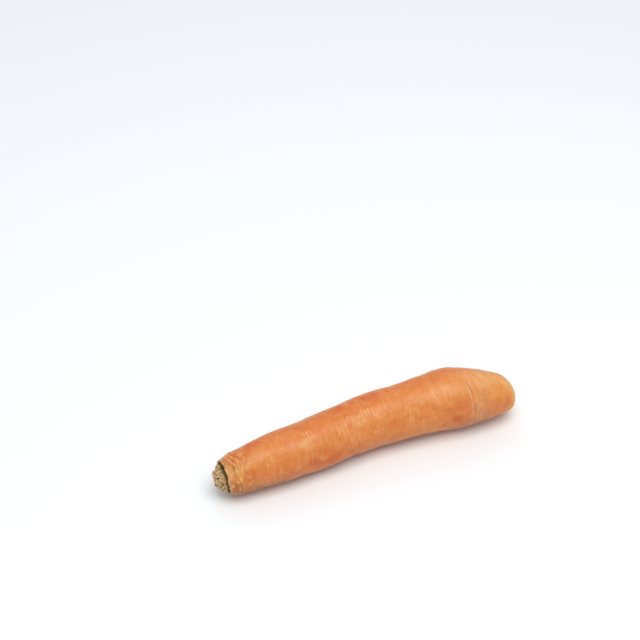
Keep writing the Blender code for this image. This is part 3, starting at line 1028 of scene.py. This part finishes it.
@dataclass
class CarrotRoot:
    """The root: skin with rings, scars and creases, a wrinkled shoulder and a hollow crown."""

    form: RootForm = field(default_factory=RootForm)
    sides: int = 156
    ring_spacing: float = 0.315 * MM
    cap_rings: int = 26
    hollow_rings: int = 8
    rim_rings: int = 9
    rim_ragged: float = 0.20 * MM
    rim_swelling: float = 0.95 * MM  # the shoulder's fullest place stands out past the rim
    swelling_angle: float = 66.0  # its middle, in degrees from the top to the front
    swelling_half_angle: float = 38.0
    swelling_reach: float = 0.009  # from the rim, over which it dies out
    finish: CarrotSkin = CarrotSkin()

    def profile(self) -> list[tuple[float, float]]:
        """Works out the outline that is turned into the root.

        Returns:
            Points of (along, radius), from the middle of the crown's hollow, over its rim, to
            the tip.
        """
        form = self.form
        floor = [
            (form.hollow_depth, form.hollow_radius * i / self.hollow_rings)
            for i in range(self.hollow_rings + 1)
        ]
        wall = form.rim_radius - form.hollow_radius
        rim = []
        for i in range(1, self.rim_rings + 1):
            turn = 0.5 * math.pi * i / self.rim_rings
            rim.append((form.hollow_depth * (1 - math.sin(turn)),
                        form.hollow_radius + wall * (1 - math.cos(turn))))  # fmt: skip
        cap_start = form.cap_start * form.length
        count = round(cap_start / self.ring_spacing)
        body = [cap_start * (i + 0.8) / count for i in range(count)]
        cap = form.length - cap_start
        body += [
            cap_start + cap * math.sin(0.5 * math.pi * (i + 0.6) / (self.cap_rings + 0.6))
            for i in range(self.cap_rings)
        ]
        radii = form.radius(np.array(body))
        return floor + rim + list(zip(body, radii.tolist())) + [(form.length, 0.0)]

    def unwrap(self, mesh: bpy.types.Mesh, around: np.ndarray, ahead: np.ndarray) -> None:
        """Gives the mesh a seam along its underside and unrolls it over the whole square.

        Args:
            mesh: The root's mesh.
            around: Share of the turn at each point, from 0 at the underside.
            ahead: Share of the outline's length at each point.
        """
        corner = np.empty(len(mesh.loops), np.int32)
        mesh.loops.foreach_get("vertex_index", corner)
        total = np.empty(len(mesh.polygons), np.int32)
        mesh.polygons.foreach_get("loop_total", total)
        face = np.repeat(np.arange(len(total)), total)
        u = around[corner]
        widest = np.zeros(len(total))
        np.maximum.at(widest, face, u)
        u = np.where(widest[face] - u > 0.5, u + 1.0, u)
        layer = mesh.uv_layers.new(name="OFBake")
        layer.data.foreach_set("uv", np.stack([u, ahead[corner]], 1).astype(np.float32).ravel())

    def lay_down(self, points: np.ndarray) -> np.ndarray:
        """Tips the root until both its halves touch, presses them flat and puts it in its place.

        Args:
            points: The root's points, still as grown.

        Returns:
            The points in the part's frame, without what the press took.
        """
        plain, half = points.copy(), 0.5 * self.form.length
        for _ in range(SETTLE_STEPS):
            lows = []
            for side in (plain[:, 0] <= half, plain[:, 0] > half):
                lows.append(plain[side][np.argmin(plain[side, 2])])
            slope = (lows[1][2] - lows[0][2]) / (lows[1][0] - lows[0][0])
            plain[:, 2] -= lows[0][2] + slope * (plain[:, 0] - lows[0][0])
        low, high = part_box("carrot_root")
        plain[:, 2] = np.maximum(plain[:, 2] - self.form.seat_depth, 0.0)
        plain[:, 0] += high.x - plain[:, 0].max()
        plain[:, 1] += 0.5 * (low.y + high.y) - 0.5 * (plain[:, 1].min() + plain[:, 1].max())
        return plain

    def build(self) -> bpy.types.Object:
        """Builds, shapes and dresses the root.

        Returns:
            The finished piece.
        """
        form = self.form
        piece = as_piece("carrot_root_skin", turned(self.profile(), self.sides), self.finish.build())
        points = places(piece.data)
        along, turn = points[:, 0].copy(), np.arctan2(-points[:, 1], points[:, 2])
        radius, angle = np.hypot(points[:, 1], points[:, 2]), np.degrees(turn)
        outside = ramp(radius, form.rim_radius - 0.1 * MM, form.rim_radius)
        outside = np.where(along > form.hollow_depth, 1.0, outside)
        grown = np.stack([along, -points[:, 1], points[:, 2]], 1)
        layers = SkinRelief(form).layers(along, angle, grown)
        fine = layers["height"] * ramp(form.length - along, 0.0, 2.5 * MM)
        lift = (form.unevenness(along, angle) + fine) * outside
        scale = 1 + lift / np.maximum(radius, 0.5 * MM)
        ragged = wave_field(grown, (9 * MM, 2.2 * MM, 2.2 * MM), 31)
        at_rim = bell((radius - form.rim_radius) / (0.9 * MM)) * ramp(-along, -2.0 * MM, 0.0)
        points[:, 0] += self.rim_ragged * ragged * at_rim
        swollen = self.rim_swelling * bell(apart(angle, self.swelling_angle) / self.swelling_half_angle)
        fade = np.where(radius < form.rim_radius, 1 - along / form.hollow_depth,
                        np.clip(1 - along / self.swelling_reach, 0.0, 1.0) ** 2)  # fmt: skip
        points[:, 0] -= swollen * np.clip(fade, 0.0, 1.0)
        points[:, 1:] *= scale[:, None]
        put_places(piece.data, self.lay_down(form.on_heart(points)))
        # The hollow mark darkens the crown's hollow to a near-black brown: painted shade in the recess.
        hollow = 1 - ramp(radius, form.hollow_radius + 0.35 * MM, form.rim_radius - 0.25 * MM)
        hollow = np.where(along <= form.hollow_depth, hollow, 0.0)
        for name in CarrotSkin.marks:
            if name != "hollow":
                put_values(piece.data, name, layers[name])
        put_values(piece.data, "hollow", hollow)
        put_values(piece.data, "share", np.clip(along / form.length, 0.0, 1.0))
        put_values(piece.data, "grown", grown)
        reach = form.hollow_radius + form.length + radius.max()
        inside = (along <= form.hollow_depth) & (radius <= form.rim_radius + ON_AXIS)
        rolled = np.where(inside, radius, form.rim_radius + along)
        self.unwrap(piece.data, (turn / (2 * math.pi) + 0.5) % 1.0, rolled / reach)
        stand_for(piece, "carrot_root")
        return piece


# --- the leaf-stalk bases ----------------------------------------------------------------


@dataclass(frozen=True)
class Whorl:
    """Stalk bases that stand round the heart at one distance."""

    count: int
    ring_radius: float
    thickness: float
    half_degrees: float
    stand_out: float


@dataclass
class LeafStalkStubs:
    """The cut leaf-stalk bases and the short stem that they grow from."""

    form: RootForm = field(default_factory=RootForm)
    whorls: tuple[Whorl, ...] = (
        Whorl(5, 0.0059, 0.0023, 37.0, 0.0031),
        Whorl(4, 0.0035, 0.0021, 46.0, 0.0047),
        Whorl(2, 0.0012, 0.0018, 80.0, 0.0055),
    )
    fit_gap: float = 0.0003
    whorl_turn: float = 0.4
    lean: float = 0.06
    taper: float = 0.90
    edge_thinning: float = 0.50
    inner_reach: float = 0.92
    sunken_middle: float = 0.0004
    dome_slope: float = 0.55  # how steeply each cut falls away from the heart
    set_back: float = 0.0003  # off the middle, to the back and up, so that the groove is uneven
    cut_edge: float = 0.15
    disc_top: float = 0.0010  # below the rim, at the disc's edge
    disc_rise: float = 0.7  # share of that depth that it rises by at its middle
    disc_rings: int = 10
    disc_sides: int = 64
    turn_jitter: float = 0.14  # of the angle from one base of a whorl to the next
    wrap_range: tuple[float, float] = (0.92, 1.18)  # shares of the whorl's own values
    stand_out_range: tuple[float, float] = (0.80, 1.15)
    thickness_range: tuple[float, float] = (0.9, 1.1)
    most_slant: float = 0.25  # of a cut, along its width
    section_steps: int = 16
    levels: int = 18
    cut_insets: int = 5
    rib_height: float = 0.12 * MM
    ribs: float = 0.80 * MM  # from one rib to the next
    ragged: float = 0.16 * MM
    splinter: float = 0.06 * MM
    finish: DryStalk = DryStalk()

    def section(self, whorl: Whorl, half_angle: float, thickness: float) -> list[tuple[float, float]]:
        """A base's crescent section before it is wrapped round the heart.

        Args:
            whorl: The whorl that it stands in.
            half_angle: Half the angle that it wraps, in radians.
            thickness: Its thickness at its middle.

        Returns:
            Points of (arc length from its middle, radius).
        """
        steps = self.section_steps
        shares = [2 * i / steps - 1 for i in range(steps + 1)]
        arc = half_angle * whorl.ring_radius
        half = [0.5 * thickness * (1 - self.edge_thinning * share**2) for share in shares]
        outer = [(arc * u, whorl.ring_radius + h) for u, h in zip(shares, half)]
        inner = [(self.inner_reach * arc * u, whorl.ring_radius - h) for u, h in zip(shares, half)]
        return outer + inner[::-1]

    def base(self, whorl: Whorl, step: int) -> bmesh.types.BMesh:
        """One cut stalk base, extruded level by level from its crescent section.

        Args:
            whorl: The whorl that it stands in.
            step: Its number in the whorl.

        Returns:
            The base as a bmesh with a float layer for its height and one for its core.
        """
        rng = random.Random(100 * whorl.count + step)
        middle = 2 * math.pi * (step + rng.uniform(-self.turn_jitter, self.turn_jitter)) / whorl.count
        middle += self.whorl_turn * whorl.count
        half_angle = math.radians(whorl.half_degrees * rng.uniform(*self.wrap_range))
        stand_out = whorl.stand_out * rng.uniform(*self.stand_out_range)
        slant = rng.uniform(-self.most_slant, self.most_slant)
        section = self.section(whorl, half_angle, whorl.thickness * rng.uniform(*self.thickness_range))
        bm = bmesh.new()
        height = bm.verts.layers.float.new("height")
        core = bm.verts.layers.float.new("core")
        root = self.form.hollow_depth - 2 * self.fit_gap
        ring = [bm.verts.new((root, arc, radius)) for arc, radius in section]
        face = bm.faces.new(ring)
        bmesh.ops.recalc_face_normals(bm, faces=bm.faces)
        rise = -(stand_out + root)
        for level in range(1, self.levels + 1):
            if level == 1:
                made = bmesh.ops.extrude_face_region(bm, geom=[face], use_keep_orig=True)["geom"]
                face = next(item for item in made if isinstance(item, bmesh.types.BMFace))
            else:
                face = bmesh.ops.extrude_discrete_faces(bm, faces=[face])["faces"][0]
            for vert in face.verts:
                vert.co.x = root + rise * level / self.levels
                vert[height] = level / self.levels
        for inset in range(1, self.cut_insets + 1):
            step_in = self.cut_edge * whorl.thickness * (1 - self.edge_thinning) / 2
            bmesh.ops.inset_individual(bm, faces=[face], thickness=step_in, depth=0.0)
            for vert in face.verts:
                vert[height] = 1.0
                vert[core] = 0.8 * inset / self.cut_insets
        poked = bmesh.ops.poke(bm, faces=[face])
        heart = poked["verts"][0]
        heart[height], heart[core] = 1.0, 1.0
        bmesh.ops.subdivide_edges(bm, edges=heart.link_edges[:], cuts=3)
        bmesh.ops.recalc_face_normals(bm, faces=bm.faces)
        self.wrap(bm, whorl, middle, slant, rng.randrange(1000))
        return bm

    def wrap(
        self, bm: bmesh.types.BMesh, whorl: Whorl, middle: float, slant: float, seed: int
    ) -> None:
        """Wraps a straight base round the heart, leans it out, and roughens it.

        Args:
            bm: The base, with x along, y the arc length from its middle and z the radius.
            whorl: The whorl that it stands in.
            middle: The angle of its middle round the heart.
            slant: Slope of its cut along its width.
            seed: Seed of its roughness.
        """
        height, core = bm.verts.layers.float["height"], bm.verts.layers.float["core"]
        flat = np.array([vert.co for vert in bm.verts])
        strings = wave_field(flat, (6 * MM, self.ribs, 3 * self.ribs), seed)
        torn = self.ragged * wave_field(flat, (9.0, 1.6 * MM, 1.2 * MM), seed + 1)
        torn += self.splinter * wave_field(flat, (9.0, 0.6 * MM, 0.7 * MM), seed + 2, 30)
        for vert, string, tear in zip(bm.verts, strings, torn):
            share, sunk = vert[height], vert[core]
            width = 1 - (1 - self.taper) * share**2
            reach = whorl.ring_radius + width * (vert.co.z - whorl.ring_radius)
            reach += self.lean * (self.form.hollow_depth - vert.co.x)
            out = 1 if vert.co.z > whorl.ring_radius else -1
            reach += out * self.rib_height * string * share * (1 - sunk)
            angle = middle + width * vert.co.y / whorl.ring_radius
            along = vert.co.x + share * (slant * vert.co.y + tear)
            along += self.dome_slope * share**2 * (reach - whorl.ring_radius)
            along += self.sunken_middle * math.sin(0.5 * math.pi * sunk)
            vert.co = (along, -reach * math.sin(angle), reach * math.cos(angle))

    def disc(self) -> bmesh.types.BMesh:
        """The short stem at the heart of the crown, as a low disc that rises to its middle.

        Returns:
            The disc, with the float layers that the bases have.
        """
        bottom = self.form.hollow_depth - self.fit_gap
        edge = self.form.hollow_radius - self.fit_gap
        shares = [i / self.disc_rings for i in range(self.disc_rings, -1, -1)]
        top = [(self.disc_top * (1 - self.disc_rise * (1 - r) ** 0.5), edge * r) for r in shares]
        bm = turned([(bottom, 0.0), (bottom, 0.5 * edge), (bottom, edge), *top], self.disc_sides)
        bm.verts.layers.float.new("height")
        bm.verts.layers.float.new("core")
        return bm

    def union(self, piece: bpy.types.Object, others: Sequence[bpy.types.Object]) -> None:
        """Joins the bases to the disc as one closed body, which keeps their marks.

        Args:
            piece: The disc, which becomes the joined body.
            others: The bases, which are removed.
        """
        marks = {name: [] for name in ("height", "core")}
        spots = []
        for source in (piece, *others):
            spots.append(places(source.data))
            for name, values in marks.items():
                values.append(np.empty(len(source.data.vertices)))
                source.data.attributes[name].data.foreach_get("value", values[-1])
        group = bpy.data.collections.new("stalk_bases")
        bpy.context.scene.collection.children.link(group)
        for other in others:
            bpy.context.scene.collection.objects.unlink(other)
            group.objects.link(other)
        grown = piece.modifiers.new("Grown together", "BOOLEAN")
        grown.operation = "UNION"
        grown.operand_type = "COLLECTION"
        grown.collection = group
        grown.solver = "EXACT"
        graph = bpy.context.evaluated_depsgraph_get()
        joined = bpy.data.meshes.new_from_object(piece.evaluated_get(graph))
        piece.modifiers.remove(grown)
        piece.data = joined
        for other in others:
            bpy.data.objects.remove(other)
        bpy.data.collections.remove(group)
        tree = KDTree(sum(map(len, spots)))
        for i, spot in enumerate(np.concatenate(spots)):
            tree.insert(spot, i)
        tree.balance()
        nearest = [tree.find(vert.co)[1] for vert in joined.vertices]
        for name, values in marks.items():
            joined.attributes[name].data.foreach_set("value", np.concatenate(values)[nearest])

    def place(self, piece: bpy.types.Object) -> None:
        """Moves the cluster from its own axis to where its solid stands.

        Args:
            piece: The joined cluster.
        """
        points = self.form.on_heart(places(piece.data))
        low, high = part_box("leaf_stalk_stubs")
        middle = 0.5 * (low + high)
        own = 0.5 * (points.min(0) + points.max(0))
        points[:, 0] += high.x - points[:, 0].max()
        points[:, 1] += middle.y - own[1] + self.set_back
        points[:, 2] += middle.z - own[2] + self.set_back
        put_places(piece.data, points)

    def build(self) -> bpy.types.Object:
        """Builds, joins and dresses the cluster.

        Returns:
            The finished piece.
        """
        finish = self.finish.build()
        piece = as_piece("leaf_stalk_bases", self.disc(), finish)
        bases = [
            as_piece(f"stalk_base_{whorl.count}_{step}", self.base(whorl, step), finish)
            for whorl in self.whorls
            for step in range(whorl.count)
        ]
        self.union(piece, bases)
        self.place(piece)
        stand_for(piece, "leaf_stalk_stubs")
        return piece


# --- the studio --------------------------------------------------------------------------


@dataclass(frozen=True)
class Softbox:
    """A soft studio light: where it hangs, what it faces, its sides and its power."""

    name: str
    place: tuple[float, float, float]
    size: tuple[float, float]
    power: float
    colour: str = "#FFFFFF"


@dataclass
class Studio:
    """A plain white table, soft light from above and behind, and the camera."""

    table_side: float = 8.0
    table_white: str = "#EEF1F4"
    sky_strength: float = 0.66
    sky_tint: str = "#F5F9FE"
    view_turn: float = -24.35  # the camera's azimuth, in degrees from the front
    view_height: float = 38.0  # its elevation, in degrees
    distance: float = 0.8888
    aim: tuple[float, float, float] = (0.0239, 0.1097, 0.0)
    lens_mm: float = 84.87
    sensor_mm: float = 36.0
    lights: tuple[Softbox, ...] = (
        Softbox("soft_light_above", (0.00, -0.34, 1.16), (1.0, 0.8), 9.75, "#FFFAF3"),
        Softbox("soft_light_behind", (0.15, 1.00, 0.90), (1.0, 0.6), 1.3),
    )

    def build_table(self) -> None:
        """Makes the table's white top."""
        # Uncoated white paper: matt, with a fine tooth, so that it throws light back evenly
        paper, tree, shader = new_material("white_paper_sweep")
        at = add_node(tree, "ShaderNodeTexCoord").outputs["Object"]
        tooth = add_node(
            tree, "ShaderNodeTexNoise", {"Vector": at, "Scale": per_metre(1.2), "Detail": 3.0}
        ).outputs[0]
        relief = add_node(
            tree, "ShaderNodeBump", {"Strength": 0.05, "Distance": 0.05 * MM, "Height": tooth}
        ).outputs[0]
        tree.links.new(relief, shader.inputs["Normal"])
        shader.inputs["Base Color"].default_value = linear(self.table_white)
        shader.inputs["Roughness"].default_value = 0.85
        shader.inputs["Specular IOR Level"].default_value = 0.2
        bm = bmesh.new()
        bmesh.ops.create_grid(bm, x_segments=1, y_segments=1, size=0.5 * self.table_side)
        as_piece("white_table", bm, paper)

    def hang_lights(self) -> None:
        """Hangs the soft lights and sets the even light of the room."""
        for box in self.lights:
            lamp = bpy.data.lights.new(box.name, "AREA")
            lamp.shape = "RECTANGLE"
            lamp.size, lamp.size_y = box.size
            lamp.energy = box.power
            lamp.color = linear(box.colour)[:3]
            hung = bpy.data.objects.new(box.name, lamp)
            hung.location = box.place
            towards = Vector((0.0, 0.0, 0.0)) - Vector(box.place)
            hung.rotation_euler = towards.to_track_quat("-Z", "Y").to_euler()
            bpy.context.scene.collection.objects.link(hung)
        world = bpy.data.worlds.new("white_room")
        world.use_nodes = True
        sky = world.node_tree.nodes["Background"]
        sky.inputs["Color"].default_value = linear(self.sky_tint)
        sky.inputs["Strength"].default_value = self.sky_strength
        bpy.context.scene.world = world

    def set_camera(self) -> None:
        """Puts the camera at its angle and makes it the scene's."""
        lens = bpy.data.cameras.new("camera")
        lens.lens, lens.sensor_width = self.lens_mm, self.sensor_mm
        camera = bpy.data.objects.new("camera", lens)
        turn, height = math.radians(self.view_turn), math.radians(self.view_height)
        back = Vector((
            math.sin(turn) * math.cos(height), -math.cos(turn) * math.cos(height), math.sin(height)
        ))  # fmt: skip
        camera.location = Vector(self.aim) + self.distance * back
        camera.rotation_euler = (-back).to_track_quat("-Z", "Y").to_euler()
        bpy.context.scene.collection.objects.link(camera)
        bpy.context.scene.camera = camera

    def build(self) -> None:
        """Sets up the table, the lights, the camera and plain colours."""
        self.set_camera()
        self.build_table()
        self.hang_lights()
        view = bpy.context.scene.view_settings
        view.view_transform, view.look = "Standard", "None"
        LOG.info("studio: camera %.1f degrees round, %.1f up", self.view_turn, self.view_height)


def main() -> None:
    """Builds the studio and the carrot, in order, and reports each piece."""
    logging.basicConfig(level=logging.INFO, format="%(name)s: %(message)s")
    Studio().build()
    CarrotRoot().build()
    LeafStalkStubs().build()


if __name__ == "__main__":
    main()
